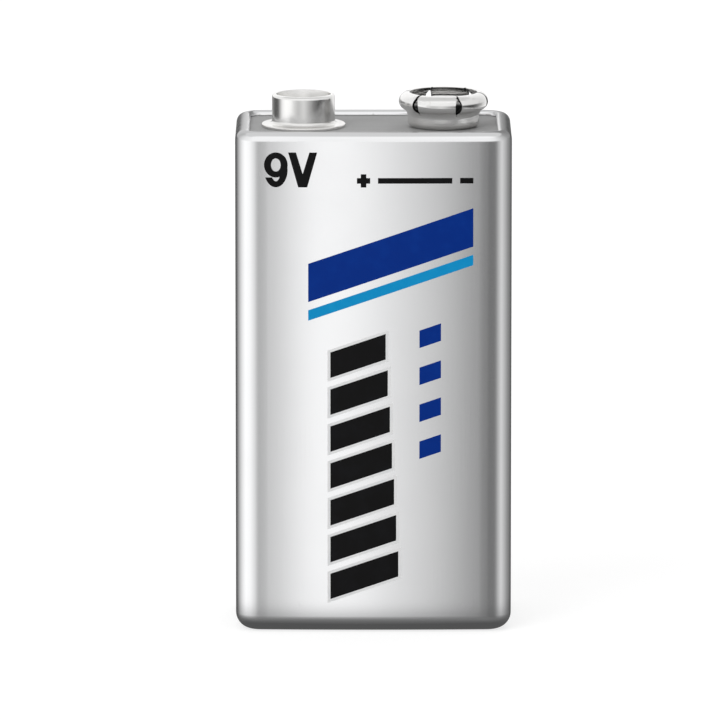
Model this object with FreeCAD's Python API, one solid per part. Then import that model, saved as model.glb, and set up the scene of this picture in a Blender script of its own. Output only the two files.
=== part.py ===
import FreeCAD, Part
import math
import os

# Nine volt lithium battery with two snap terminals on top, in millimetres.
# The origin is the centre of the footprint, on the plane that the battery stands on.
# +Z points up to the terminals, -Y is the printed front, and +X runs from the stud to the socket.

Vector = FreeCAD.Vector
UP = Vector(0, 0, 1)
ORIGIN = Vector(0, 0, 0)
tolerance = 1e-6

# Case outline, seen from above
case_width = 25.0
case_depth = 15.8
corner_radius = 2.3
face_crown = 0.2
shoulder_height = 45.8

# Jacket: one sleeve of thin sheet steel, turned in at both ends
jacket_sheet = 0.3
top_bend_radius = 0.9
top_curl_bore = 0.12
top_lip_drop = 0.06
base_bend_radius = 1.5
base_lip_width = 0.45
seam_width = 0.16
seam_depth = 0.12

# Terminal board and base plate, held by the turned ends
board_thickness = 1.2
base_thickness = 1.3
seat_clearance = 0.05

# Snap terminals
terminal_pitch = 12.7
stud_radius = 2.86
stud_height = 3.0
stud_wall = 0.4
stud_draft = 0.2
stud_rim_round = 0.3
stud_mouth_round = 0.08
stud_foot_round = 0.35
flange_width = 0.95
flange_thickness = 0.3
flange_edge_round = 0.12
snap_clearance = 0.09
socket_height = 3.16
socket_sheet = 0.3
socket_fold_radius = 0.48
socket_neck_top = 0.98
socket_flare_radius = 0.75
socket_flare_width = 0.8
socket_curl_radius = 0.85
socket_curl_angle = 10.0
slit_count = 6
slit_turn = 20.0
slit_foot_rise = 0.54
slit_lip_run = 0.36
slit_top_width = 0.22
slit_belly_width = 0.6

# Hollow rivets that clamp each terminal, the board and a contact strip
rivet_radius = 1.2
rivet_wall = 0.35
rivet_head_width = 0.7
rivet_head_thickness = 0.15
rivet_tail_width = 0.6
rivet_tail_thickness = 0.25
rivet_clearance = 0.05

# Contact strips under the board, and the resettable thermal fuse on the positive one
contact_sheet = 0.2
contact_margin = 0.6
fuse_width = 4.4
fuse_depth = 3.2
fuse_thickness = 0.5

# Insulation and padding
liner_sheet = 0.15
base_pad_thickness = 0.8
cell_pad_thickness = 0.2
cell_pad_margin = 2.5
card_thickness = 0.3
card_slot_clearance = 0.4
inner_clearance = 0.1

# Sealed flat cells, front to back, joined in series; the first and last need opposite end terminals
cell_names = ("front", "middle", "rear")
terminal_room = 5.6
cell_cap_round = 0.8
seal_height = 1.5
seal_thickness = 0.5
seal_margin = 1.2
tab_sheet = 0.15
tab_width = 4.0
tab_rise = 0.95
tab_foot = 1.8
link_width = 3.6

# Print on the front face: thin fields of colour
film = 0.03
print_left = 2.63
print_right = 3.5
mark_top_drop = 1.75
mark_height = 3.17
nine_stroke = 0.63
nine_bar_stroke = 0.54
nine_width = 2.13
nine_bowl_height = 2.28
nine_hook_drop = 2.28
vee_gap = 0.05
vee_width = 2.61
vee_stroke = 0.7
vee_foot_width = 0.81
vee_crotch = 1.2
rule_left = 11.0
rule_height = 0.5
rule_sign_size = 1.2
rule_sign_gap = 0.7
band_left = 6.6
band_slope = 0.34
band_drop = 11.9
dark_band_height = 3.5
light_band_height = 0.95
band_gap = 0.75
bar_count = 7
bar_left = 8.6
bar_top_width = 5.0
bar_foot_width = 6.15
bar_gap = 1.05
bar_base = 3.1
bar_headroom = 2.9
bar_outline = 0.26
tick_count = 4
tick_margin = 2.9
tick_width = 1.95
tick_height = 1.6

# Heights that follow from the sizes above
top_curl_radius = top_curl_bore + jacket_sheet
board_top = shoulder_height - top_curl_radius - top_lip_drop
board_underside = board_top - board_thickness
base_underside = jacket_sheet
base_top = base_underside + base_thickness
contact_underside = board_underside - contact_sheet
cell_foot = base_top + base_pad_thickness
cell_top = board_underside - terminal_room
seal_top = cell_top + seal_height
link_underside = seal_top + tab_rise
link_top = link_underside + tab_sheet
fuse_underside = contact_underside - fuse_thickness

# Radii that follow from the sizes above
flange_radius = stud_radius + flange_width
socket_bore_radius = stud_radius + snap_clearance
socket_neck_radius = socket_bore_radius + socket_sheet
socket_belly_radius = socket_neck_radius + socket_flare_width
rivet_head_radius = rivet_radius + rivet_head_width
rivet_tail_radius = rivet_radius + rivet_tail_width
rivet_bore_radius = rivet_radius - rivet_wall
rivet_hole_radius = rivet_radius + rivet_clearance

# Places that follow from the sizes above
stud_x = -terminal_pitch / 2
socket_x = terminal_pitch / 2
corner_x = case_width / 2 - corner_radius
crown_radius = (corner_x**2 + face_crown**2) / (2 * face_crown)
crown_y = case_depth / 2 - crown_radius
corner_y = crown_y + math.sqrt((crown_radius - corner_radius) ** 2 - corner_x**2)
corner_sweep = math.degrees(math.atan2(corner_y - crown_y, corner_x))
liner_inset = jacket_sheet + seat_clearance
cell_inset = liner_inset + liner_sheet + inner_clearance
stack_depth = 2 * (corner_y + corner_radius - cell_inset)
cell_count = len(cell_names)
cell_depth = (stack_depth - (cell_count - 1) * cell_pad_thickness) / cell_count
cell_width = case_width - 2 * cell_inset
cell_pitch = cell_depth + cell_pad_thickness
cell_edge_radius = corner_radius - cell_inset
seal_width = cell_width - 2 * cell_edge_radius - 2 * seal_margin
contact_width = 2 * (rivet_tail_radius + contact_margin)
contact_reach = (cell_count - 1) * cell_pitch / 2 + tab_sheet / 2 + tab_foot
print_edge = case_width - print_right
dark_band_foot = shoulder_height - band_drop - dark_band_height
light_band_foot = dark_band_foot - band_gap - light_band_height
bar_row = (light_band_foot - bar_headroom + bar_gap - bar_base) / bar_count
bar_height = bar_row - bar_gap


def polar(radius, degrees):
    """An offset of that length in that direction, as a pair."""
    turn = math.radians(degrees)
    return radius * math.cos(turn), radius * math.sin(turn)


def around(centre, radius, degrees):
    """The point at that radius and direction from a centre, as a pair."""
    across, along = polar(radius, degrees)
    return centre[0] + across, centre[1] + along


def section(path, place):
    """A face bounded by a path of lines and arcs.

    The path is a list of steps: ("line", end) or ("arc", middle, end), after a first ("start", point).
    place turns a pair of the section's own coordinates into a vector.
    """
    here = place(path[0][1])
    edges = []
    for step in path[1:]:
        end = place(step[-1])
        if here.distanceToPoint(end) < tolerance:
            continue
        if step[0] == "line":
            edges.append(Part.makeLine(here, end))
        else:
            edges.append(Part.Arc(here, place(step[1]), end).toShape())
        here = end
    return Part.Face(Part.Wire(edges))


def arc(centre, radius, first, last):
    """An arc step of a section path, about a centre, from one direction to another."""
    return ("arc", around(centre, radius, (first + last) / 2), around(centre, radius, last))


def turned(path, x, z):
    """A solid of revolution about a vertical axis at x, from a path of (radius, height above z)."""
    face = section(path, lambda p: Vector(x + p[0], 0, z + p[1]))
    return face.revolve(Vector(x, 0, 0), UP, 360)


def outline(inset, z):
    """The case outline as a face at height z, moved in by inset: two straight sides, two crowned faces."""
    side_x = case_width / 2 - inset
    corner = corner_radius - inset
    crown = crown_radius - inset

    def quadrant_point(centre, radius, degrees, flip_x, flip_y):
        x, y = around(centre, radius, degrees)
        return Vector(flip_x * x, flip_y * y, z)

    edges = []
    for flip_x, flip_y in ((1, 1), (-1, 1), (-1, -1), (1, -1)):
        ends = [
            quadrant_point((corner_x, corner_y), corner, degrees, flip_x, flip_y)
            for degrees in (0, corner_sweep / 2, corner_sweep)
        ]
        edges.append(Part.Arc(*ends).toShape())
    for flip in (1, -1):
        ends = [
            quadrant_point((0, crown_y), crown, degrees, 1, flip)
            for degrees in (corner_sweep, 90, 180 - corner_sweep)
        ]
        edges.append(Part.Arc(*ends).toShape())
        low, high = Vector(flip * side_x, -corner_y, z), Vector(flip * side_x, corner_y, z)
        edges.append(Part.makeLine(low, high))
    return Part.Face(Part.Wire(Part.__sortEdges__(edges)))


def plate(inset, low, high):
    """A flat plate that follows the case outline, from one height to another."""
    return outline(inset, low).extrude(Vector(0, 0, high - low))


def swept_ring(path):
    """A ring round the case outline, from a path of (inset from the case outline, height)."""
    face = section(path, lambda p: Vector(case_width / 2 - p[0], 0, p[1]))
    side = face.extrude(Vector(0, corner_y, 0))
    face.translate(Vector(0, corner_y, 0))
    corner = face.revolve(Vector(corner_x, corner_y, 0), UP, corner_sweep)
    face.rotate(Vector(corner_x, corner_y, 0), UP, corner_sweep)
    front = face.revolve(Vector(0, crown_y, 0), UP, 90 - corner_sweep)
    quarter = side.fuse([corner, front])
    half = quarter.fuse(quarter.mirror(ORIGIN, Vector(1, 0, 0)))
    whole = half.fuse(half.mirror(ORIGIN, Vector(0, 1, 0))).removeSplitter()
    return whole.Solids[0]


def rounded_rim(solid, z, radius):
    """The solid with every edge that lies at height z rounded."""
    flat = []
    for edge in solid.Edges:
        room = edge.BoundBox
        if abs(room.ZMin - z) < tolerance and abs(room.ZMax - z) < tolerance:
            flat.append(edge)
    return solid.makeFillet(radius, flat)


def box(width, depth, low, high, x=0.0, y=0.0):
    """An upright block centred on (x, y), from one height to another."""
    corner = Vector(x - width / 2, y - depth / 2, low)
    return Part.makeBox(width, depth, high - low, corner)


def rivet_hole(x, low, high):
    """The clearance hole for a rivet's shank at x."""
    return Part.makeCylinder(rivet_hole_radius, high - low, Vector(x, 0, low))


def make_jacket():
    """The sheet steel sleeve: curled down on the board at the top, turned in flat under the base plate."""
    bend = (top_bend_radius, shoulder_height - top_bend_radius)
    curl = (top_bend_radius, shoulder_height - top_curl_radius)
    foot = (base_bend_radius, base_bend_radius)
    lip_end = base_bend_radius + base_lip_width
    seam_low, seam_high = base_bend_radius, shoulder_height - top_bend_radius
    path = [
        ("start", (0, foot[1])),
        ("line", (0, bend[1])),
        arc(bend, top_bend_radius, 180, 90),
        arc(curl, top_curl_radius, 90, 0),
        ("line", (curl[0] + top_curl_radius, board_top)),
        ("line", (curl[0] + top_curl_bore, board_top)),
        ("line", (curl[0] + top_curl_bore, curl[1])),
        arc(curl, top_curl_bore, 0, 90),
        arc(bend, top_bend_radius - jacket_sheet, 90, 180),
        ("line", (jacket_sheet, foot[1])),
        arc(foot, base_bend_radius - jacket_sheet, 180, 270),
        ("line", (lip_end, jacket_sheet)),
        ("line", (lip_end, 0)),
        ("line", (foot[0], 0)),
        arc(foot, base_bend_radius, 270, 180),
    ]
    seam = box(seam_width, 2 * seam_depth, seam_low, seam_high, y=case_depth / 2)
    return swept_ring(path).cut(seam)


def make_terminal_board():
    """The insulating board in the mouth of the jacket, rounded to seat under its bend."""
    board = plate(liner_inset, board_underside, board_top)
    board = rounded_rim(board, board_top, top_bend_radius - jacket_sheet - seat_clearance)
    holes = [rivet_hole(x, board_underside, board_top) for x in (stud_x, socket_x)]
    return board.cut(holes)


def make_base_plate():
    """The plate that closes the jacket's lower end, rounded to seat in its bend."""
    base = plate(liner_inset, base_underside, base_top)
    return rounded_rim(base, base_underside, base_bend_radius - jacket_sheet - seat_clearance)


def make_positive_stud():
    """The smaller terminal: a flanged cup, open at the top, with a hole for its rivet."""
    rim = (stud_radius - stud_rim_round, stud_height - stud_rim_round)
    mouth_radius = stud_radius - stud_wall
    mouth = (mouth_radius + stud_mouth_round, stud_height - stud_mouth_round)
    foot = (stud_radius + stud_foot_round, flange_thickness + stud_foot_round)
    edge = (flange_radius - flange_edge_round, flange_thickness - flange_edge_round)
    path = [
        ("start", (rivet_hole_radius, 0)),
        ("line", (flange_radius, 0)),
        ("line", (flange_radius, edge[1])),
        arc(edge, flange_edge_round, 0, 90),
        ("line", (foot[0], flange_thickness)),
        arc(foot, stud_foot_round, 270, 180),
        ("line", (stud_radius, rim[1])),
        arc(rim, stud_rim_round, 0, 90),
        ("line", (mouth[0], stud_height)),
        arc(mouth, stud_mouth_round, 90, 180),
        ("line", (mouth_radius - stud_draft, flange_thickness)),
        ("line", (rivet_hole_radius, flange_thickness)),
        ("line", (rivet_hole_radius, 0)),
    ]
    return turned(path, stud_x, board_top)


def socket_path():
    """The socket's section: a folded floor, a straight neck, a flare, a belly and a curled lip."""
    sheet, neck = socket_sheet, socket_neck_radius
    fold = (neck - socket_fold_radius, socket_fold_radius)
    curl = (socket_belly_radius - socket_curl_radius, socket_height - socket_curl_radius)
    rise = curl[1] - socket_neck_top
    swing = math.degrees(2 * math.atan2(socket_flare_width, rise))
    bends = (socket_flare_width**2 + rise**2) / (2 * socket_flare_width)
    belly_bend = bends - socket_flare_radius
    flare = (neck + socket_flare_radius, socket_neck_top)
    belly = (socket_belly_radius - belly_bend, curl[1])
    lip = 90 + socket_curl_angle
    return [
        ("start", (rivet_hole_radius, 0)),
        ("line", (fold[0], 0)),
        arc(fold, socket_fold_radius, 270, 360),
        ("line", (neck, socket_neck_top)),
        arc(flare, socket_flare_radius, 180, 180 - swing),
        arc(belly, belly_bend, -swing, 0),
        arc(curl, socket_curl_radius, 0, lip),
        ("line", around(curl, socket_curl_radius - sheet, lip)),
        arc(curl, socket_curl_radius - sheet, lip, 0),
        arc(belly, belly_bend - sheet, 0, -swing),
        arc(flare, socket_flare_radius + sheet, 180 - swing, 180),
        ("line", (socket_bore_radius, fold[1])),
        arc(fold, socket_fold_radius - sheet, 360, 270),
        ("line", (rivet_hole_radius, sheet)),
        ("line", (rivet_hole_radius, 0)),
    ]


def make_slit():
    """The space between two spring fingers: narrow at the lip, wider at the belly, pointed at the foot."""
    top = socket_height + socket_sheet
    foot = socket_neck_top + slit_foot_rise
    shoulder = socket_height - slit_lip_run
    narrow, wide = slit_top_width / 2, slit_belly_width / 2
    middle = (foot + shoulder) / 2
    path = [
        ("start", (narrow, top)),
        ("line", (-narrow, top)),
        ("line", (-narrow, shoulder)),
        ("arc", (-wide, middle), (0, foot)),
        ("arc", (wide, middle), (narrow, shoulder)),
        ("line", (narrow, top)),
    ]
    face = section(path, lambda p: Vector(socket_x + p[0], 0, board_top + p[1]))
    return face.extrude(Vector(0, -socket_belly_radius - socket_sheet, 0))


def make_negative_socket():
    """The larger terminal: a drawn cup whose wall is slit into spring fingers."""
    cup = turned(socket_path(), socket_x, board_top)
    axis = Vector(socket_x, 0, 0)
    slits = []
    for index in range(slit_count):
        slit = make_slit()
        slit.rotate(axis, UP, slit_turn + index * 360 / slit_count)
        slits.append(slit)
    return cup.cut(slits)


def make_rivet(x, floor):
    """A hollow rivet from a terminal's floor, through the board, to under a contact strip."""
    grip = floor + board_thickness + contact_sheet
    path = [
        ("start", (rivet_bore_radius, -rivet_tail_thickness)),
        ("line", (rivet_tail_radius, -rivet_tail_thickness)),
        ("line", (rivet_tail_radius, 0)),
        ("line", (rivet_radius, 0)),
        ("line", (rivet_radius, grip)),
        ("line", (rivet_head_radius, grip)),
        ("line", (rivet_head_radius, grip + rivet_head_thickness)),
        ("line", (rivet_bore_radius, grip + rivet_head_thickness)),
        ("line", (rivet_bore_radius, -rivet_tail_thickness)),
    ]
    return turned(path, x, contact_underside)


def make_contact(x, side):
    """A flat strip under the board, from the rivet at x to above the outer cell on one side."""
    low, high = sorted((-side * contact_width / 2, side * contact_reach))
    strip = box(contact_width, high - low, contact_underside, board_underside, x, (low + high) / 2)
    return strip.cut(rivet_hole(x, contact_underside, board_underside))


def make_thermal_fuse():
    """The resettable fuse between the positive strip and the front cell's tab."""
    y = -contact_reach + fuse_depth / 2
    return box(fuse_width, fuse_depth, fuse_underside, contact_underside, stud_x, y)


def cell_y(index):
    """How far back the middle of a cell lies, counted from the front."""
    return (index - (cell_count - 1) / 2) * cell_pitch


def make_cell(y):
    """One sealed flat cell: a rounded pouch with its pressed seal along the top."""
    pouch = box(cell_width, cell_depth, cell_foot, cell_top, y=y)
    upright = [e for e in pouch.Edges if abs(e.tangentAt(e.FirstParameter).dot(UP)) > 1 - tolerance]
    pouch = pouch.makeFillet(cell_edge_radius, upright)
    pouch = rounded_rim(pouch, cell_top, cell_cap_round)
    pouch = rounded_rim(pouch, cell_foot, cell_cap_round)
    seal = box(seal_width, seal_thickness, cell_top - seal_thickness, seal_top, y=y)
    return pouch.fuse(seal).removeSplitter()


def make_tab(x, y, top, side):
    """A cell's tab: a strip that stands on the seal and is folded flat, to one side, at its top."""
    outer, inner = y - side * tab_sheet / 2, y + side * tab_sheet / 2
    path = [
        ("start", (outer, seal_top)),
        ("line", (outer, top)),
        ("line", (outer + side * tab_foot, top)),
        ("line", (outer + side * tab_foot, top - tab_sheet)),
        ("line", (inner, top - tab_sheet)),
        ("line", (inner, seal_top)),
        ("line", (outer, seal_top)),
    ]
    face = section(path, lambda p: Vector(x - tab_width / 2, p[0], p[1]))
    return face.extrude(Vector(tab_width, 0, 0))


def make_link(x, y):
    """The strip that joins the tabs of two neighbouring cells, centred between them."""
    return box(link_width, cell_pitch + tab_sheet, link_underside, link_top, x, y)


def make_card():
    """The insulating card over the links, slotted for the two tabs that pass up through it."""
    card = plate(cell_inset, link_top, link_top + card_thickness)
    width = tab_width + 2 * card_slot_clearance
    depth = tab_sheet + 2 * card_slot_clearance
    slots = [
        box(width, depth, link_top, link_top + card_thickness, stud_x, cell_y(0)),
        box(width, depth, link_top, link_top + card_thickness, socket_x, cell_y(cell_count - 1)),
    ]
    return card.cut(slots)


def make_liner():
    """The insulating film sleeve between the jacket and the cells."""
    low, high = base_top, board_underside
    outer, inner = liner_inset, liner_inset + liner_sheet
    path = [
        ("start", (outer, low)),
        ("line", (outer, high)),
        ("line", (inner, high)),
        ("line", (inner, low)),
        ("line", (outer, low)),
    ]
    return swept_ring(path)


def make_cell_pad(y):
    """The adhesive pad between two neighbouring cells."""
    width = cell_width - 2 * cell_edge_radius - 2 * cell_pad_margin
    low, high = cell_foot + cell_pad_margin, cell_top - cell_pad_margin
    return box(width, cell_pad_thickness, low, high, y=y)


def field(points):
    """A prism through the case, front to back, from corner points (distance from the left edge, height)."""
    corners = [Vector(x - case_width / 2, -case_depth, z) for x, z in points]
    face = Part.Face(Part.makePolygon(corners + corners[:1]))
    return face.extrude(Vector(0, 2 * case_depth, 0))


def rectangle(left, low, right, high):
    """An upright rectangular prism through the case."""
    return field([(left, low), (right, low), (right, high), (left, high)])


def ellipse(x, z, half_width, half_height):
    """An elliptical prism through the case, centred at (distance from the left edge, height)."""
    tall = half_height > half_width
    long_half, short_half = sorted((half_width, half_height), reverse=True)
    face = Part.Face(Part.Wire(Part.Ellipse(ORIGIN, long_half, short_half).toShape()))
    face.rotate(ORIGIN, UP, 90 if tall else 0)
    face.rotate(ORIGIN, Vector(1, 0, 0), 90)
    face.translate(Vector(x - case_width / 2, -case_depth, z))
    return face.extrude(Vector(0, 2 * case_depth, 0))


def inked(fields):
    """The fields of a colour as thin solids that follow the front of the jacket."""
    low, high = base_bend_radius, shoulder_height - top_bend_radius
    skin = plate(-film, low, high).cut(plate(0, low, high))
    front = skin.common(box(case_width, case_depth, low, high, y=-case_depth / 2))
    return Part.makeCompound([s for f in fields for s in front.common(f).Solids])


def slanted(left, right, foot, height):
    """A parallelogram on the front with upright ends, rising to the right at the band's slope."""
    rise = (right - left) * band_slope
    return field([(left, foot), (right, foot + rise), (right, foot + rise + height), (left, foot + height)])


def nine():
    """The figure nine: a closed bowl and a tail that runs down the right and hooks to the left."""
    top = shoulder_height - mark_top_drop
    half_width, half_height, half_bowl = nine_width / 2, mark_height / 2, nine_bowl_height / 2
    x = print_left + half_width
    bowl_z, middle_z, hook_z = top - half_bowl, top - half_height, top - nine_hook_drop
    bowl = ellipse(x, bowl_z, half_width, half_bowl)
    counter = ellipse(x, bowl_z, half_width - nine_stroke, half_bowl - nine_bar_stroke)
    outer = ellipse(x, middle_z, half_width, half_height)
    inner = ellipse(x, middle_z, half_width - nine_stroke, half_height - nine_bar_stroke)
    tail = outer.cut([inner, rectangle(x - half_width, hook_z, x, top)])
    return bowl.fuse(tail).cut(counter)


def vee():
    """The letter V, as two strokes that meet at the foot."""
    top = shoulder_height - mark_top_drop
    foot = top - mark_height
    left = print_left + nine_width + vee_gap
    right = left + vee_width
    middle = (left + right) / 2
    points = [
        (left, top),
        (middle - vee_foot_width / 2, foot),
        (middle + vee_foot_width / 2, foot),
        (right, top),
        (right - vee_stroke, top),
        (middle, foot + vee_crotch),
        (left + vee_stroke, top),
    ]
    return field(points)


def rule():
    """A plain rule with a plus sign before it and a minus sign after it."""
    middle = shoulder_height - mark_top_drop - mark_height + rule_sign_size / 2
    left, right = rule_left, print_edge
    half, arm = rule_height / 2, rule_sign_size
    low, high = middle - half, middle + half
    upright_x = left + arm / 2
    across = rectangle(left, low, left + arm, high)
    upright = rectangle(upright_x - half, middle - arm / 2, upright_x + half, middle + arm / 2)
    line = rectangle(left + arm + rule_sign_gap, low, right - arm - rule_sign_gap, high)
    minus = rectangle(right - arm, low, right, high)
    return [across.fuse(upright), line, minus]


def bar_places():
    """Each slanted bar of the column as (left, right, foot), from the lowest up."""
    places = []
    for index in range(bar_count):
        share = index / (bar_count - 1)
        width = bar_foot_width + (bar_top_width - bar_foot_width) * share
        places.append((bar_left, bar_left + width, bar_base + index * bar_row))
    return places


def bars():
    """The black bars of the column."""
    return [slanted(left, right, foot, bar_height) for left, right, foot in bar_places()]


def bar_edges():
    """The white edges round the black bars."""
    edges = []
    for left, right, foot in bar_places():
        drop = bar_outline * (1 + band_slope)
        wide = slanted(left - bar_outline, right + bar_outline, foot - drop, bar_height + 2 * bar_outline)
        edges.append(wide.cut(slanted(left, right, foot, bar_height)))
    return edges


def ticks():
    """The short bars beside the column's upper bars."""
    right = print_edge - tick_margin
    left = right - tick_width
    lift = (left - bar_left) * band_slope
    feet = [foot + lift for _, _, foot in bar_places()[-tick_count:]]
    return [slanted(left, right, foot, tick_height) for foot in feet]


def make_print_black():
    """The black print: the voltage mark, the rule and the column of bars."""
    return inked([nine(), vee()] + rule() + bars())


def make_print_white():
    """The white print: an edge round each black bar."""
    return inked(bar_edges())


def make_print_dark_blue():
    """The dark blue print: the wide slanted band and the short bars."""
    return inked([slanted(band_left, print_edge, dark_band_foot, dark_band_height)] + ticks())


def make_print_light_blue():
    """The light blue print: the narrow band under the dark one."""
    return inked([slanted(band_left, print_edge, light_band_foot, light_band_height)])


def cell_stack():
    """The cells with their tabs, and the links and pads between them, by name."""
    shapes = {}
    last = cell_count - 1
    for index, name in enumerate(cell_names):
        y = cell_y(index)
        plus_x, minus_x = (stud_x, socket_x) if index % 2 == 0 else (socket_x, stud_x)
        plus_top = fuse_underside if index == 0 else link_underside
        minus_top = contact_underside if index == last else link_underside
        shapes[name + "_cell"] = make_cell(y)
        shapes[name + "_cell_positive_tab"] = make_tab(plus_x, y, plus_top, -1)
        shapes[name + "_cell_negative_tab"] = make_tab(minus_x, y, minus_top, 1)
        if index < last:
            shapes[name + "_link"] = make_link(minus_x, y + cell_pitch / 2)
            shapes[name + "_cell_pad"] = make_cell_pad(y + cell_pitch / 2)
    return shapes


def build():
    """Every node's shape, by name."""
    shapes = {
        "jacket": make_jacket(),
        "terminal_board": make_terminal_board(),
        "base_plate": make_base_plate(),
        "positive_stud": make_positive_stud(),
        "negative_socket": make_negative_socket(),
        "positive_rivet": make_rivet(stud_x, flange_thickness),
        "negative_rivet": make_rivet(socket_x, socket_sheet),
        "positive_contact": make_contact(stud_x, -1),
        "negative_contact": make_contact(socket_x, 1),
        "thermal_fuse": make_thermal_fuse(),
        "insulating_card": make_card(),
        "cell_liner": make_liner(),
        "base_pad": plate(cell_inset, base_top, cell_foot),
        "print_black": make_print_black(),
        "print_white": make_print_white(),
        "print_dark_blue": make_print_dark_blue(),
        "print_light_blue": make_print_light_blue(),
    }
    shapes.update(cell_stack())
    return shapes


os.makedirs("parts", exist_ok=True)
for name, shape in build().items():
    shape.exportStep(os.path.join("parts", name + ".step"))
    print(name, "solids", len(shape.Solids), "volume", round(shape.Volume, 3))
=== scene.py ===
"""Looks of a nine volt battery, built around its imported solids.

Lengths are in metres, in the row frame: +Z up to the terminals, -Y out of the printed front and
+X from the snap stud to the snap socket.
"""

import logging
import math
from dataclasses import dataclass, field
from enum import Enum
from typing import Any, Optional, Sequence, Union

import bpy
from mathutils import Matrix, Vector


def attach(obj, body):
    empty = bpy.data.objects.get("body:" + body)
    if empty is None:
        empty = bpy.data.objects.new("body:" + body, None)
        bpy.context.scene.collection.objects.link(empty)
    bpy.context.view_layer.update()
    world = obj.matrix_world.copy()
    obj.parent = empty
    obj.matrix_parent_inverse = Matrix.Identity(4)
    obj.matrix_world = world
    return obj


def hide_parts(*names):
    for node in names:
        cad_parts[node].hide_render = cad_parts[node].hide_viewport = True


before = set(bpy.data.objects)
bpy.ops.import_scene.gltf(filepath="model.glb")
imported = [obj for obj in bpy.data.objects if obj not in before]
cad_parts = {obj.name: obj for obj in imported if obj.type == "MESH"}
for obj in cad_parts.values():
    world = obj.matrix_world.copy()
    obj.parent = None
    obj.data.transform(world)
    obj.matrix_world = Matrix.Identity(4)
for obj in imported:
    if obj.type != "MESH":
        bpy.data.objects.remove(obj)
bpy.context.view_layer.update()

log = logging.getLogger("battery")
dressed_finishes: dict[str, bpy.types.Material] = {}

MM = 0.001
BODY = "root"
LEVEL = "level"
BOARD_TOP = 45.32 * MM
TERMINAL_X = 6.35 * MM
IMAGE_SIZE = 720
SENSOR_WIDTH = 36.0

Number = Union[int, float]
Point = tuple[float, float]
Spot = tuple[float, float, float]
Station = tuple[float, float, float, float]
Pattern = tuple[Point, ...]
Colour = tuple[float, float, float, float]


def grey(value: float) -> Colour:
    """A neutral linear colour."""
    return (value, value, value, 1.0)


def rgb(red: float, green: float, blue: float) -> Colour:
    """A linear colour without transparency."""
    return (red, green, blue, 1.0)


# Shader helpers


class Port:
    """One output of a node. Python's operators on it add the matching Math nodes."""

    def __init__(self, graph: "Graph", output: Optional[bpy.types.NodeSocket]) -> None:
        """Keeps the output with the graph that takes its nodes."""
        self.graph = graph
        self.output = output

    def _math(self, operation: str, *values: Any) -> "Port":
        """A Math node of that operation on the values, in order."""
        inputs = dict(enumerate(values))
        return self.graph.node("ShaderNodeMath", {"operation": operation}, inputs)

    def __add__(self, other: Any) -> "Port":
        """self + other."""
        return self._math("ADD", self, other)

    def __radd__(self, other: Any) -> "Port":
        """other + self."""
        return self._math("ADD", other, self)

    def __sub__(self, other: Any) -> "Port":
        """self - other."""
        return self._math("SUBTRACT", self, other)

    def __rsub__(self, other: Any) -> "Port":
        """other - self."""
        return self._math("SUBTRACT", other, self)

    def __mul__(self, other: Any) -> "Port":
        """self * other."""
        return self._math("MULTIPLY", self, other)

    def __rmul__(self, other: Any) -> "Port":
        """other * self."""
        return self._math("MULTIPLY", other, self)

    def __truediv__(self, other: Any) -> "Port":
        """self / other."""
        return self._math("DIVIDE", self, other)

    def __pow__(self, other: Any) -> "Port":
        """self ** other."""
        return self._math("POWER", self, other)

    def magnitude(self) -> "Port":
        """The value without its sign."""
        return self._math("ABSOLUTE", self)

    def largest(self, other: Any) -> "Port":
        """The larger of the two values."""
        return self._math("MAXIMUM", self, other)

    def smallest(self, other: Any) -> "Port":
        """The smaller of the two values."""
        return self._math("MINIMUM", self, other)

    def angle_to(self, other: Any) -> "Port":
        """The angle whose tangent is self over other, in radians."""
        return self._math("ARCTAN2", self, other)

    def ranged(self, low: Number, high: Number, start: Number = 0.0, end: Number = 1.0) -> "Port":
        """The value brought smoothly from one range into another, and held at the ends.

        Args:
            low: Where the change begins.
            high: Where the change ends.
            start: The result at low.
            end: The result at high.

        Returns:
            The result's output.
        """
        settings = {"interpolation_type": "SMOOTHSTEP"}
        inputs = {"Value": self, "From Min": low, "From Max": high, "To Min": start, "To Max": end}
        return self.graph.node("ShaderNodeMapRange", settings, inputs)

    def beside(self, *names: Union[str, int]) -> list["Port"]:
        """Outputs of the same node, by name or by number."""
        return [Port(self.graph, self.output.node.outputs[name]) for name in names]


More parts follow.
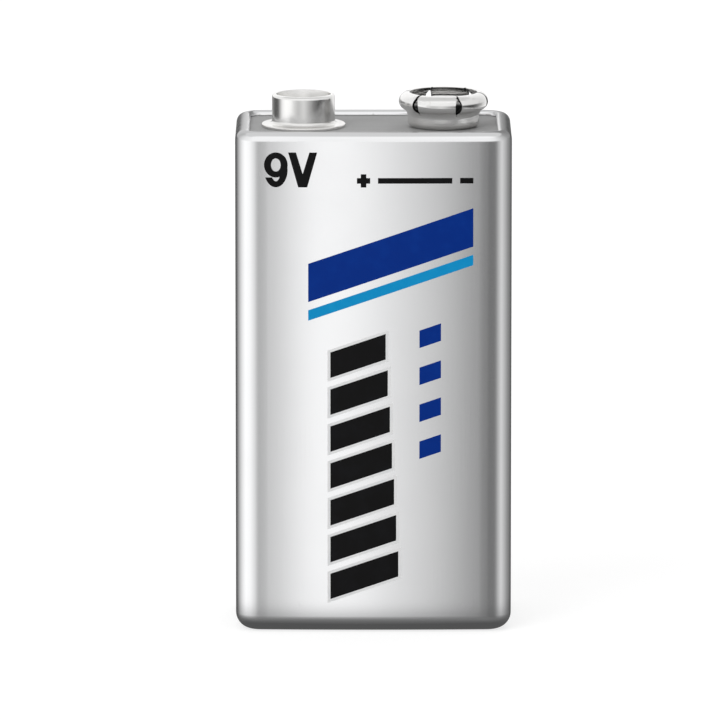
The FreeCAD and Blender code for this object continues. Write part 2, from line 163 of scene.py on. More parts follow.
class Graph:
    """A cleared node tree that is filled through one method."""

    def __init__(self, tree: bpy.types.NodeTree) -> None:
        """Clears the tree."""
        self.tree = tree
        tree.nodes.clear()

    def node(
        self,
        kind: str,
        settings: Optional[dict[str, Any]] = None,
        inputs: Optional[dict[Union[str, int], Any]] = None,
        output: Union[str, int] = 0,
    ) -> Port:
        """Adds a node of any type.

        Args:
            kind: The node's type name.
            settings: Its own settings, such as a Math node's operation, which are set first.
            inputs: Values or ports for its sockets, by name or by number.
            output: The output to return, by name or by number.

        Returns:
            That output, wrapped.
        """
        made = self.tree.nodes.new(kind)
        for name, value in (settings or {}).items():
            setattr(made, name, value)
        for name, value in (inputs or {}).items():
            if isinstance(value, Port):
                self.tree.links.new(value.output, made.inputs[name])
            else:
                made.inputs[name].default_value = value
        return Port(self, made.outputs[output] if made.outputs else None)

    def split(self, vector: Port) -> list[Port]:
        """A vector's x, y and z."""
        return self.node("ShaderNodeSeparateXYZ", inputs={0: vector}).beside(0, 1, 2)

    def place(self) -> list[Port]:
        """The shaded point in the row frame, as a vector and as its x, y and z."""
        vector = self.node("ShaderNodeTexCoord", output="Object")
        return [vector, *self.split(vector)]

    def vector(self, x: Any, y: Any, z: Any) -> Port:
        """A vector from three values."""
        return self.node("ShaderNodeCombineXYZ", inputs={0: x, 1: y, 2: z})

    def noise(self, vector: Port, size: float, detail: float = 3.0, rough: float = 0.55) -> Port:
        """Soft noise from 0 to 1 whose features are about that size, in metres."""
        inputs = {"Vector": vector, "Scale": 1 / size, "Detail": detail, "Roughness": rough}
        return self.node("ShaderNodeTexNoise", {"noise_dimensions": "3D"}, inputs)

    def stretched(self, vector: Port, x: float, y: float, z: float) -> Port:
        """A vector with its parts scaled one by one."""
        inputs = {0: vector, 1: (x, y, z)}
        return self.node("ShaderNodeVectorMath", {"operation": "MULTIPLY"}, inputs)

    def rays(self) -> list[Port]:
        """Whether a ray comes from the camera, off a glossy surface or through glass."""
        names = ("Is Camera Ray", "Is Glossy Ray", "Is Transmission Ray")
        return self.node("ShaderNodeLightPath").beside(*names)

    def mixed(self, factor: Port, first: Any, second: Any) -> Port:
        """A colour between two colours, through the Mix node's colour sockets."""
        inputs = {0: factor, 6: first, 7: second}
        return self.node("ShaderNodeMix", {"data_type": "RGBA"}, inputs, 2)

    def bumped(self, height: Port, depth: float) -> Port:
        """A normal from a height of 0 to 1, for a relief of that depth in metres."""
        return self.node("ShaderNodeBump", inputs={"Height": height, "Distance": depth})

    def glow(self, level: Union[Number, Port]) -> Port:
        """A shader that glows white at that level."""
        colour = level if isinstance(level, Port) else grey(level)
        return self.node("ShaderNodeEmission", inputs={"Color": colour, "Strength": 1.0})

    def clear(self) -> Port:
        """A shader that lets everything through."""
        return self.node("ShaderNodeBsdfTransparent")

    def both(self, first: Port, second: Port) -> Port:
        """Two shaders added up."""
        return self.node("ShaderNodeAddShader", inputs={0: first, 1: second})

    def either(self, factor: Port, first: Port, second: Port) -> Port:
        """The first shader where the factor is 0, and the second where it is 1."""
        return self.node("ShaderNodeMixShader", inputs={0: factor, 1: first, 2: second})

    def shown(self, shader: Port) -> None:
        """Makes that shader the material's surface."""
        self.node("ShaderNodeOutputMaterial", inputs={"Surface": shader})


class Finish:
    """What a surface is made of. Each finish draws its own nodes, once, into one material."""

    name: str

    def surface(self, graph: Graph) -> dict[str, Any]:
        """Draws the finish's own nodes.

        Args:
            graph: The node graph of this finish.

        Returns:
            Values and ports for the shader's sockets, by name.
        """
        raise NotImplementedError

    def material(self) -> bpy.types.Material:
        """The material of this finish, made on first use.

        Returns:
            A node-based material.
        """
        if self.name not in dressed_finishes:
            made = bpy.data.materials.new("finish_" + self.name)
            made.use_nodes = True
            graph = Graph(made.node_tree)
            graph.shown(graph.node("ShaderNodeBsdfPrincipled", inputs=self.surface(graph)))
            dressed_finishes[self.name] = made
        return dressed_finishes[self.name]

    def dress(self, piece: bpy.types.Object) -> bpy.types.Object:
        """Gives a piece this finish as its only material.

        Args:
            piece: The object.

        Returns:
            The same object.
        """
        piece.data.materials.clear()
        piece.data.materials.append(self.material())
        return piece


class PieceFinish(Finish):
    """A finish for the pieces that are made here, with the name of their material slot."""

    slot: str


# Finishes


@dataclass(frozen=True)
class SatinSteel(PieceFinish):
    """Satin silver over thin sheet steel: a fine grain, faint rolling lines and rubbed bends."""

    name: str = "satin_silver_steel"
    slot: str = "jacket_steel"
    colour: Colour = rgb(0.865, 0.868, 0.875)
    cloud_colour: Colour = rgb(0.855, 0.858, 0.866)
    seam_colour: Colour = rgb(0.36, 0.35, 0.34)
    roughness: float = 0.17
    cloud_size: float = 6 * MM
    grain_size: float = 0.07 * MM
    grain_depth: float = 0.0006 * MM
    line_size: float = 0.12 * MM
    line_depth: float = 0.0004 * MM
    scuff_size: float = 0.5 * MM
    rub_size: float = 1.3 * MM
    low_bend: float = 1.5 * MM
    low_run: float = 0.9 * MM
    high_bend: float = 44.9 * MM
    high_run: float = 0.7 * MM
    seam_half_width: float = 0.12 * MM
    seam_top: float = 45.6 * MM
    seam_fade: float = 0.4 * MM

    def surface(self, graph: Graph) -> dict[str, Any]:
        """Grain and rolling lines in the relief, rubbed bends and a duller seam.

        Args:
            graph: The node graph of this finish.

        Returns:
            Values and ports for the shader's sockets, by name.
        """
        place, x, y, z = graph.place()
        cloud = graph.noise(place, self.cloud_size, 2.0).ranged(0.35, 0.7)
        grain = graph.noise(place, self.grain_size, 2.0, 0.6)
        rolled = graph.noise(graph.stretched(place, 1.0, 1.0, 0.012), self.line_size, 2.0)
        scuffs = graph.noise(graph.stretched(place, 1.0, 1.0, 0.25), self.scuff_size, 4.0)
        scuffs = scuffs.ranged(0.68, 0.8)
        high = z.ranged(self.high_bend, self.high_bend + self.high_run)
        low = z.ranged(self.low_bend, self.low_bend - self.low_run)
        rubbed = high.largest(low) * graph.noise(place, self.rub_size).ranged(0.4, 0.65)
        behind = y.ranged(0.0, 1 * MM)
        seam = behind * x.magnitude().ranged(self.seam_half_width, self.seam_half_width * 0.4)
        seam = seam * z.ranged(self.seam_top, self.seam_top - self.seam_fade)
        roughness = self.roughness + 0.03 * (grain - 0.5) + 0.008 * cloud + 0.02 * scuffs
        relief = grain * 0.6 + rolled * (self.line_depth / self.grain_depth)
        colour = graph.mixed(cloud, self.colour, self.cloud_colour)
        return {
            "Base Color": graph.mixed(seam, colour, self.seam_colour),
            "Metallic": 1.0,
            "Roughness": roughness - 0.05 * rubbed + 0.2 * seam,
            "Normal": graph.bumped(relief, self.grain_depth),
        }


@dataclass(frozen=True)
class NickelPlate(PieceFinish):
    """Nickel on a drawn or turned part, with fine rings round its own axis and painted shade
    inside.
    """

    name: str
    axis_x: float
    slot: str = "terminal_nickel"
    colour: Colour = rgb(0.83, 0.825, 0.815)
    tarnish: Colour = rgb(0.62, 0.60, 0.57)
    # Near black painted shade for the inside low down and for the slit walls.
    inside_shade_colour: Colour = grey(0.012)
    shade_inside_top: float = 0.0
    shade_inside_fade: float = 0.45 * MM
    cut_edge_shade: float = 0.0
    roughness: float = 0.2
    ring_size: float = 0.05 * MM
    streak_size: float = 0.1 * MM
    streak_turn: float = 3 * MM
    relief_depth: float = 0.0007 * MM
    spot_size: float = 0.5 * MM
    dull_top: float = 46.4 * MM
    dull_foot: float = 45.4 * MM

    def surface(self, graph: Graph) -> dict[str, Any]:
        """Turning rings, tarnish in the folds, and painted shade on the cut edges and low down
        inside.

        Args:
            graph: The node graph of this finish.

        Returns:
            Values and ports for the shader's sockets, by name.
        """
        place, x, y, z = graph.place()
        across = x - self.axis_x
        radius = (across * across + y * y) ** 0.5
        rings = graph.noise(graph.vector(radius, z, 0.0), self.ring_size, 2.0)
        around = across.angle_to(y) * self.streak_turn
        streaks = graph.vector(around, z * 0.06, radius * 0.06)
        streaks = graph.noise(streaks, self.streak_size, 2.0)
        spots = graph.noise(place, self.spot_size, 4.0).ranged(0.58, 0.75)
        low = z.ranged(self.dull_top, self.dull_foot)
        dull = (spots * 0.35 + low * 0.25).smallest(1.0)
        colour = graph.mixed(dull, self.colour, self.tarnish)
        roughness = self.roughness + 0.05 * (rings - 0.5) + 0.10 * dull
        # Painted shade: faces turned in to the axis below the top go near black, and so do the
        # slit walls when cut-edge shade is set.
        if self.shade_inside_top:
            nx, ny, _ = graph.split(graph.node("ShaderNodeNewGeometry", output="True Normal"))
            inward = (across * nx + y * ny) / radius
            sideways = ((across * ny - y * nx) / radius).magnitude()
            deep = z.ranged(self.shade_inside_top, self.shade_inside_top - self.shade_inside_fade)
            deep = inward.ranged(0.1, -0.2) * deep
            dark = deep.largest(self.cut_edge_shade * sideways.ranged(0.55, 0.8))
            colour = graph.mixed(dark, colour, self.inside_shade_colour)
            roughness = roughness + 0.3 * dark
        return {
            "Base Color": colour,
            "Metallic": 1.0,
            "Roughness": roughness,
            "Normal": graph.bumped(rings * 0.5 + streaks * 0.5, self.relief_depth),
        }


@dataclass(frozen=True)
class MouldedPlastic(Finish):
    """Grey moulded board with a fine spark-eroded grain and flecks of filler."""

    name: str = "moulded_board"
    colour: Colour = grey(0.31)
    flow_colour: Colour = grey(0.285)
    fleck: Colour = grey(0.40)
    roughness: float = 0.46
    grain_size: float = 0.09 * MM
    grain_depth: float = 0.006 * MM
    flow_size: float = 3 * MM
    fleck_size: float = 0.16 * MM

    def surface(self, graph: Graph) -> dict[str, Any]:
        """Grain in the relief, flow marks and small flecks in the colour.

        Args:
            graph: The node graph of this finish.

        Returns:
            Values and ports for the shader's sockets, by name.
        """
        place = graph.place()[0]
        grain = graph.noise(place, self.grain_size, 3.0, 0.65)
        flow = graph.noise(graph.stretched(place, 0.3, 1.0, 1.0), self.flow_size, 2.0)
        flecks = graph.noise(place, self.fleck_size, 1.0).ranged(0.62, 0.75)
        colour = graph.mixed(flow.ranged(0.3, 0.7), self.colour, self.flow_colour)
        return {
            "Base Color": graph.mixed(flecks * 0.7, colour, self.fleck),
            "Roughness": self.roughness + 0.12 * (grain - 0.5),
            "Specular IOR Level": 0.35,
            "Normal": graph.bumped(grain, self.grain_depth),
        }


@dataclass(frozen=True)
class RolledStrip(Finish):
    """Rolled nickel strip with lines along its length and a cloudy tone."""

    name: str = "rolled_nickel_strip"
    colour: Colour = rgb(0.70, 0.685, 0.655)
    dull: Colour = rgb(0.52, 0.50, 0.47)
    roughness: float = 0.3
    line_size: float = 0.08 * MM
    line_depth: float = 0.002 * MM
    cloud_size: float = 1.2 * MM

    def surface(self, graph: Graph) -> dict[str, Any]:
        """Long rolling lines, and a cloudy tone.

        Args:
            graph: The node graph of this finish.

        Returns:
            Values and ports for the shader's sockets, by name.
        """
        place = graph.place()[0]
        lines = graph.noise(graph.stretched(place, 1.0, 0.03, 0.03), self.line_size, 2.0)
        cloud = graph.noise(place, self.cloud_size).ranged(0.4, 0.7)
        return {
            "Base Color": graph.mixed(cloud, self.colour, self.dull),
            "Metallic": 1.0,
            "Roughness": self.roughness + 0.12 * (lines - 0.5) + 0.08 * cloud,
            "Normal": graph.bumped(lines, self.line_depth),
        }


@dataclass(frozen=True)
class CoatedBody(Finish):
    """A plain body with a mottled tone and a fine relief: wraps, films, card and foam."""

    name: str
    colour: Colour
    second: Colour
    roughness: float
    grain_size: float
    grain_depth: float
    metallic: float = 0.0
    stretch: Spot = (1.0, 1.0, 1.0)
    mottle: float = 9.0

    def surface(self, graph: Graph) -> dict[str, Any]:
        """A mottled colour over a relief of one grain.

        Args:
            graph: The node graph of this finish.

        Returns:
            Values and ports for the shader's sockets, by name.
        """
        place = graph.place()[0]
        grain = graph.noise(graph.stretched(place, *self.stretch), self.grain_size, 4.0, 0.6)
        tone = graph.noise(place, self.grain_size * self.mottle).ranged(0.35, 0.68)
        return {
            "Base Color": graph.mixed(tone, self.colour, self.second),
            "Metallic": self.metallic,
            "Roughness": self.roughness + 0.15 * (grain - 0.5),
            "Normal": graph.bumped(grain, self.grain_depth),
        }


@dataclass(frozen=True)
class Ink(Finish):
    """A printed ink: an even coat with a slight orange peel."""

    name: str
    colour: Colour
    thin: Colour
    roughness: float = 0.34
    peel_size: float = 0.12 * MM
    peel_depth: float = 0.0012 * MM
    coat_size: float = 1.6 * MM

    def surface(self, graph: Graph) -> dict[str, Any]:
        """A slightly uneven coat.

        Args:
            graph: The node graph of this finish.

        Returns:
            Values and ports for the shader's sockets, by name.
        """
        place = graph.place()[0]
        peel = graph.noise(place, self.peel_size)
        coat = graph.noise(place, self.coat_size).ranged(0.4, 0.75)
        return {
            "Base Color": graph.mixed(coat, self.colour, self.thin),
            "Roughness": self.roughness + 0.1 * (peel - 0.5) + 0.04 * coat,
            "Specular IOR Level": 0.12,
            "Normal": graph.bumped(peel, self.peel_depth),
        }


class Stock(Enum):
    """The plain finishes of the pieces inside the jacket."""

    FUSE = CoatedBody(
        "fuse_wrap", rgb(0.78, 0.60, 0.17), rgb(0.70, 0.50, 0.12),
        roughness=0.42, grain_size=0.15 * MM, grain_depth=0.004 * MM,
    )
    POUCH = CoatedBody(
        "pouch_foil", rgb(0.76, 0.77, 0.78), rgb(0.68, 0.69, 0.71),
        roughness=0.33, grain_size=0.35 * MM, grain_depth=0.012 * MM, metallic=1.0,
    )
    FILM = CoatedBody(
        "insulating_film", rgb(0.86, 0.87, 0.83), rgb(0.80, 0.82, 0.78),
        roughness=0.24, grain_size=0.6 * MM, grain_depth=0.006 * MM,
    )
    CARD = CoatedBody(
        "insulating_card", rgb(0.50, 0.53, 0.47), rgb(0.42, 0.45, 0.40),
        roughness=0.8, grain_size=0.12 * MM, grain_depth=0.012 * MM, stretch=(1.0, 0.35, 1.0),
    )
    FOAM = CoatedBody(
        "closed_foam", rgb(0.14, 0.14, 0.15), rgb(0.09, 0.09, 0.10),
        roughness=0.9, grain_size=0.14 * MM, grain_depth=0.03 * MM,
    )


class Print(Enum):
    """The four inks on the front."""

    BLACK = Ink("ink_black", rgb(0.0035, 0.0033, 0.0035), rgb(0.006, 0.006, 0.007))
    WHITE = Ink("ink_white", rgb(0.93, 0.93, 0.93), rgb(0.87, 0.88, 0.89))
    DARK_BLUE = Ink("ink_dark_blue", rgb(0.0, 0.030, 0.26), rgb(0.001, 0.036, 0.285))
    LIGHT_BLUE = Ink("ink_light_blue", rgb(0.006, 0.32, 0.68), rgb(0.010, 0.35, 0.71))


# Mesh helpers


def held(value: float) -> float:
    """The value, held between 0 and 1."""
    return min(1.0, max(0.0, value))


def arc(centre: Point, radius: float, first: float, last: float, steps: int) -> list[Station]:
    """Points along an arc, each with its direction.

    Args:
        centre: The arc's centre.
        radius: Its radius.
        first: The direction of its first point, in degrees.
        last: The direction of its last point, in degrees.
        steps: How many pieces the arc is divided into.

    Returns:
        steps + 1 of (x, y, x part, y part), where the parts give the way out from the centre.
    """
    points = []
    for step in range(steps + 1):
        turn = math.radians(first + (last - first) * step / steps)
        c, s = math.cos(turn), math.sin(turn)
        points.append((centre[0] + radius * c, centre[1] + radius * s, c, s))
    return points


def bend(centre: Point, radius: float, first: float, last: float, steps: int) -> list[Point]:
    """The points of an arc, without their directions."""
    return [(x, y) for x, y, _, _ in arc(centre, radius, first, last, steps)]


def swept_faces(stations: int, count: int) -> list[tuple[int, ...]]:
    """The faces of a closed section that is swept once round.

    Args:
        stations: How many times the section stands there.
        count: How many points it has.

    Returns:
        Faces of four vertex numbers, for vertices listed section by section.
    """
    faces = []
    for station in range(stations):
        here, there = station * count, (station + 1) % stations * count
        for index in range(count):
            after = (index + 1) % count
            faces.append((here + index, there + index, there + after, here + after))
    return faces


def make_piece(
    name: str,
    vertices: Sequence[Sequence[float]],
    faces: Sequence[Sequence[int]],
    sharp_degrees: float = 40.0,
) -> bpy.types.Object:
    """A smooth-shaded mesh object whose steep edges stay sharp.

    Args:
        name: The piece's name.
        vertices: Its points, in metres.
        faces: Its faces, as vertex numbers.
        sharp_degrees: Edges that turn by more than this are sharp.

    Returns:
        The object, in the scene.
    """
    mesh = bpy.data.meshes.new(name)
    mesh.from_pydata(vertices, [], faces)
    mesh.validate()
    mesh.shade_smooth()
    mesh.set_sharp_from_angle(angle=math.radians(sharp_degrees))
    made = bpy.data.objects.new(name, mesh)
    bpy.context.scene.collection.objects.link(made)
    return made


def add_piece(piece: bpy.types.Object, finish: PieceFinish, node: str) -> bpy.types.Object:
    """Dresses a new piece, sets it riding and lets it stand for a CAD node.

    Args:
        piece: The object.
        finish: What it is made of.
        node: The CAD node that it replaces.

    Returns:
        The same object.
    """
    finish.dress(piece)
    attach(piece, BODY)
    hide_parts(node)
    log.info("%s: %d faces, finish %s", piece.name, len(piece.data.polygons), finish.name)
    return piece


def turned(
    name: str, axis_x: float, base_z: float, profile: Sequence[Point], sides: int
) -> bpy.types.Object:
    """A solid of revolution about a vertical axis.

    Args:
        name: The piece's name.
        axis_x: Where the axis stands, along X.
        base_z: The height that the profile is measured from.
        profile: A closed loop of (radius, height), without its first point repeated.
        sides: How many steps go round.

    Returns:
        The object.
    """
    vertices = []
    for side in range(sides):
        turn = 2 * math.pi * side / sides
        c, s = math.cos(turn), math.sin(turn)
        vertices += [(axis_x + radius * c, radius * s, base_z + rise) for radius, rise in profile]
    return make_piece(name, vertices, swept_faces(sides, len(profile)))


# Sub-assemblies


@dataclass
class CaseOutline:
    """The battery's outline from above: flat sides, slightly crowned faces, round corners."""

    width: float = 25.0 * MM
    depth: float = 15.8 * MM
    corner_radius: float = 2.3 * MM
    face_crown: float = 0.2 * MM
    corner_steps: int = 16
    face_steps: int = 26
    side_steps: int = 8

    def crown_radius(self) -> float:
        """The radius of the slightly crowned faces."""
        half = self.width / 2 - self.corner_radius
        return (half**2 + self.face_crown**2) / (2 * self.face_crown)

    def stations(self) -> list[Station]:
        """Points round the outline, anticlockwise from the +X side.

        Returns:
            (x, y, outward x, outward y) for each.
        """
        corner, steps = self.corner_radius, self.corner_steps
        corner_x = self.width / 2 - corner
        crown = self.crown_radius()
        crown_y = self.depth / 2 - crown
        corner_y = crown_y + math.sqrt((crown - corner) ** 2 - corner_x**2)
        sweep = math.degrees(math.atan2(corner_y - crown_y, corner_x))
        made = []
        for sign, turn in ((1.0, 0.0), (-1.0, 180.0)):
            for step in range(self.side_steps):
                y = sign * corner_y * (2 * step / self.side_steps - 1)
                made.append((sign * self.width / 2, y, sign, 0.0))
            near, far = (sign * corner_x, sign * corner_y), (-sign * corner_x, sign * corner_y)
            face = (0.0, sign * crown_y)
            leave, meet = turn + sweep, turn + 180 - sweep
            made += arc(near, corner, turn, leave, steps)[:-1]
            made += arc(face, crown, leave, meet, self.face_steps)[:-1]
            made += arc(far, corner, meet, turn + 180, steps)[:-1]
        return made


@dataclass
class Sleeve:
    """The steel jacket: curled down at the top, turned in under the base, seamed up the back."""

    outline: CaseOutline = field(default_factory=CaseOutline)
    height: float = 45.8 * MM
    sheet: float = 0.3 * MM
    top_bend: float = 0.9 * MM
    curl_bore: float = 0.12 * MM
    base_bend: float = 1.5 * MM
    base_lip: float = 0.45 * MM
    edge_round: float = 0.06 * MM
    seam_half_width: float = 0.08 * MM
    seam_edge: float = 0.05 * MM
    seam_depth: float = 0.12 * MM
    seam_shares: tuple[float, ...] = (2.0, 1.3, 1.0, 0.85, 0.7, 0.55, 0.4, 0.2)
    seam_reach: float = 1.5
    wall_steps: int = 12
    sharp_degrees: float = 50.0

    def profile(self) -> list[tuple[float, float, bool]]:
        """The sheet's section as a closed loop.

        Returns:
            (inset, height, whether it lies on the outside of the sheet) for each point.
        """
        sheet, fine, base = self.sheet, self.edge_round, self.base_bend
        curl = self.curl_bore + sheet
        bend_at = (self.top_bend, self.height - self.top_bend)
        curl_at = (self.top_bend, self.height - curl)
        foot_at = (base, base)
        lip = base + self.base_lip
        rest = BOARD_TOP + fine
        outside = bend(foot_at, base, 270, 180, 18)
        for step in range(1, self.wall_steps):
            outside.append((0.0, base + (bend_at[1] - base) * step / self.wall_steps))
        outside += bend(bend_at, self.top_bend, 180, 90, 16)
        outside += bend(curl_at, curl, 90, 0, 12)[1:]
        outside += bend((curl_at[0] + curl - fine, rest), fine, 0, -90, 4)
        inside = bend((curl_at[0] + self.curl_bore + fine, rest), fine, 270, 180, 4)
        inside += bend(curl_at, self.curl_bore, 0, 90, 6)
        inside += bend(bend_at, self.top_bend - sheet, 90, 180, 10)[1:]
        inside += bend(foot_at, base - sheet, 180, 270, 12)
        end = bend((lip - fine, sheet - fine), fine, 90, 0, 4)
        end += bend((lip - fine, fine), fine, 0, -90, 4)
        made = []
        for points, outer in ((outside, True), (inside, False), (end, True)):
            made += [(inset, height, outer) for inset, height in points]
        return made

    def seam(self, x: float, y: float) -> float:
        """How deep the seam's groove is at a point of the outline, in metres.

        Args:
            x: The point's place along X.
            y: Its place along Y.

        Returns:
            The depth, 0 away from the seam.
        """
        if y < 0:
            return 0.0
        share = held((self.seam_half_width + self.seam_edge - abs(x)) / self.seam_edge)
        return self.seam_depth * share * share * (3 - 2 * share)

    def stations(self) -> list[Station]:
        """The outline's points, with closer ones across the seam.

        Returns:
            (x, y, outward x, outward y) for each.
        """
        half = self.seam_half_width + self.seam_edge
        left = [half * share for share in self.seam_shares]
        across = left + [0.0] + [-x for x in reversed(left)]
        crown = self.outline.crown_radius()
        crown_y = self.outline.depth / 2 - crown
        made = []
        for station in self.outline.stations():
            if station[1] > 0 and abs(station[0]) < half * self.seam_reach:
                for x in across:
                    turn = math.acos(x / crown)
                    c, s = math.cos(turn), math.sin(turn)
                    made.append((crown * c, crown_y + crown * s, c, s))
            else:
                made.append(station)
        return made

    def grooved(self, inset: float, height: float, groove: float) -> Point:
        """Where a point on the outside of the sheet goes under the seam's groove.

        Args:
            inset: How far it lies inside the outline.
            height: Its height.
            groove: How deep the groove is there.

        Returns:
            Its new inset and height.
        """
        if height < self.base_bend:
            tilt = min(1.0, inset / self.base_bend)
            flat = held((inset - self.base_bend) / self.base_lip)
            return inset + groove * (1 - tilt), height + groove * tilt * (1 - flat)
        if height > self.height - self.top_bend:
            left = (self.height - height) / self.top_bend
            return inset + groove * max(0.0, 2 * left - 1), height
        return inset + groove, height

    def build(self) -> bpy.types.Object:
        """Sweeps the section round the outline.

        Returns:
            The jacket.
        """
        profile, stations = self.profile(), self.stations()
        vertices = []
        for x, y, out_x, out_y in stations:
            groove = self.seam(x, y)
            for inset, rise, outer in profile:
                if outer:
                    inset, rise = self.grooved(inset, rise, groove)
                vertices.append((x - out_x * inset, y - out_y * inset, rise))
        faces = swept_faces(len(stations), len(profile))
        piece = make_piece("jacket_sleeve", vertices, faces, self.sharp_degrees)
        return add_piece(piece, SatinSteel(), "jacket")


@dataclass
class SnapStud:
    """The positive terminal: a flanged cup with a rounded rim."""

    radius: float = 2.86 * MM
    height: float = 3.0 * MM
    wall: float = 0.4 * MM
    draft: float = 0.2 * MM
    rim_round: float = 0.3 * MM
    mouth_round: float = 0.08 * MM
    foot_round: float = 0.35 * MM
    floor_round: float = 0.3 * MM
    flange_width: float = 0.95 * MM
    flange_thickness: float = 0.3 * MM
    flange_round: float = 0.12 * MM
    flange_foot: float = 0.05 * MM
    hole_radius: float = 1.25 * MM
    wall_shares: tuple[float, ...] = (0.35, 0.5, 0.65, 0.8)
    sides: int = 128
    roughness: float = 0.18

    def profile(self) -> list[Point]:
        """The cup's section as a closed loop.

        Returns:
            (radius, height) for each point.
        """
        radius, height, thick = self.radius, self.height, self.flange_thickness
        flange, fine, edge = radius + self.flange_width, self.flange_round, self.flange_foot
        foot, rim, lip, deep = self.foot_round, self.rim_round, self.mouth_round, self.floor_round
        mouth = radius - self.wall
        points = [(self.hole_radius, 0.0), (flange - edge, 0.0)]
        points += bend((flange - edge, edge), edge, 270, 360, 4)[1:]
        points += bend((flange - fine, thick - fine), fine, 0, 90, 8)
        points += bend((radius + foot, thick + foot), foot, 270, 180, 12)
        points += [(radius, height * share) for share in self.wall_shares]
        points += bend((radius - rim, height - rim), rim, 0, 90, 12)
        points += bend((mouth + lip, height - lip), lip, 90, 180, 6)[1:]
        points += bend((mouth - self.draft - deep, thick + deep), deep, 0, -90, 8)
        points.append((self.hole_radius, thick))
        return points

    def build(self) -> bpy.types.Object:
        """Turns the section about the terminal's axis.

        Returns:
            The stud.
        """
        piece = turned("snap_stud", -TERMINAL_X, BOARD_TOP, self.profile(), self.sides)
        finish = NickelPlate("nickel_stud", -TERMINAL_X, roughness=self.roughness)
        return add_piece(piece, finish, "positive_stud")


